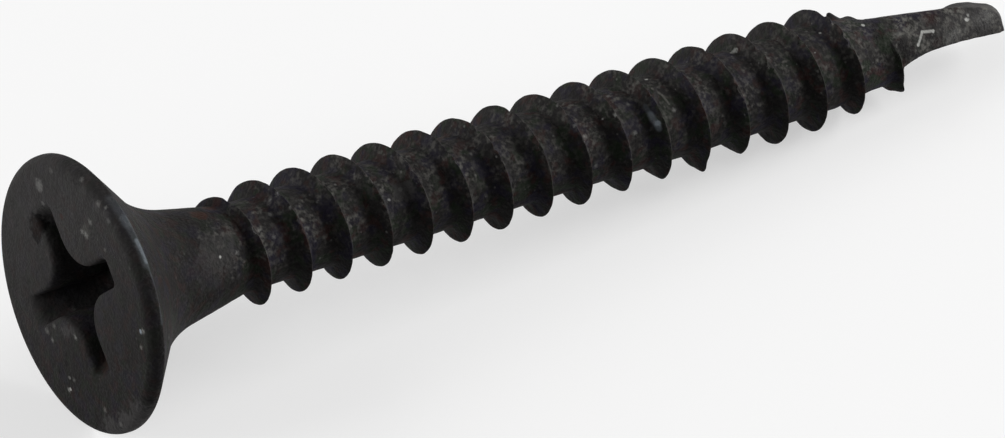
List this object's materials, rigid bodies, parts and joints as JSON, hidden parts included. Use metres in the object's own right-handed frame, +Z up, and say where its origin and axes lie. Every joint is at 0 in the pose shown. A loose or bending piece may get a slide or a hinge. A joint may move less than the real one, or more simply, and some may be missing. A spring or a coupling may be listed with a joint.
{
  "type": "drywall screw",
  "caption": "Self-drilling drywall screw with a bugle head, a cross recess, a single right-hand thread and a small drill point, in black phosphate finish.",
  "frame": {"origin": "centre of the bounding box at its lowest level, which is the surface that the screw lies on", "axes": "+X along the screw from the head to the tip, tilted down 5.3 degrees with the axis, +Y sideways, +Z up"},
  "size_m": [0.0324, 0.0082, 0.0081],
  "materials": {
    "black_phosphate": "satin, fine-grained black phosphate with light dust and a little rust"
  },
  "bodies": {
    "root": {"screw": "black_phosphate"}
  },
  "joints": []
}
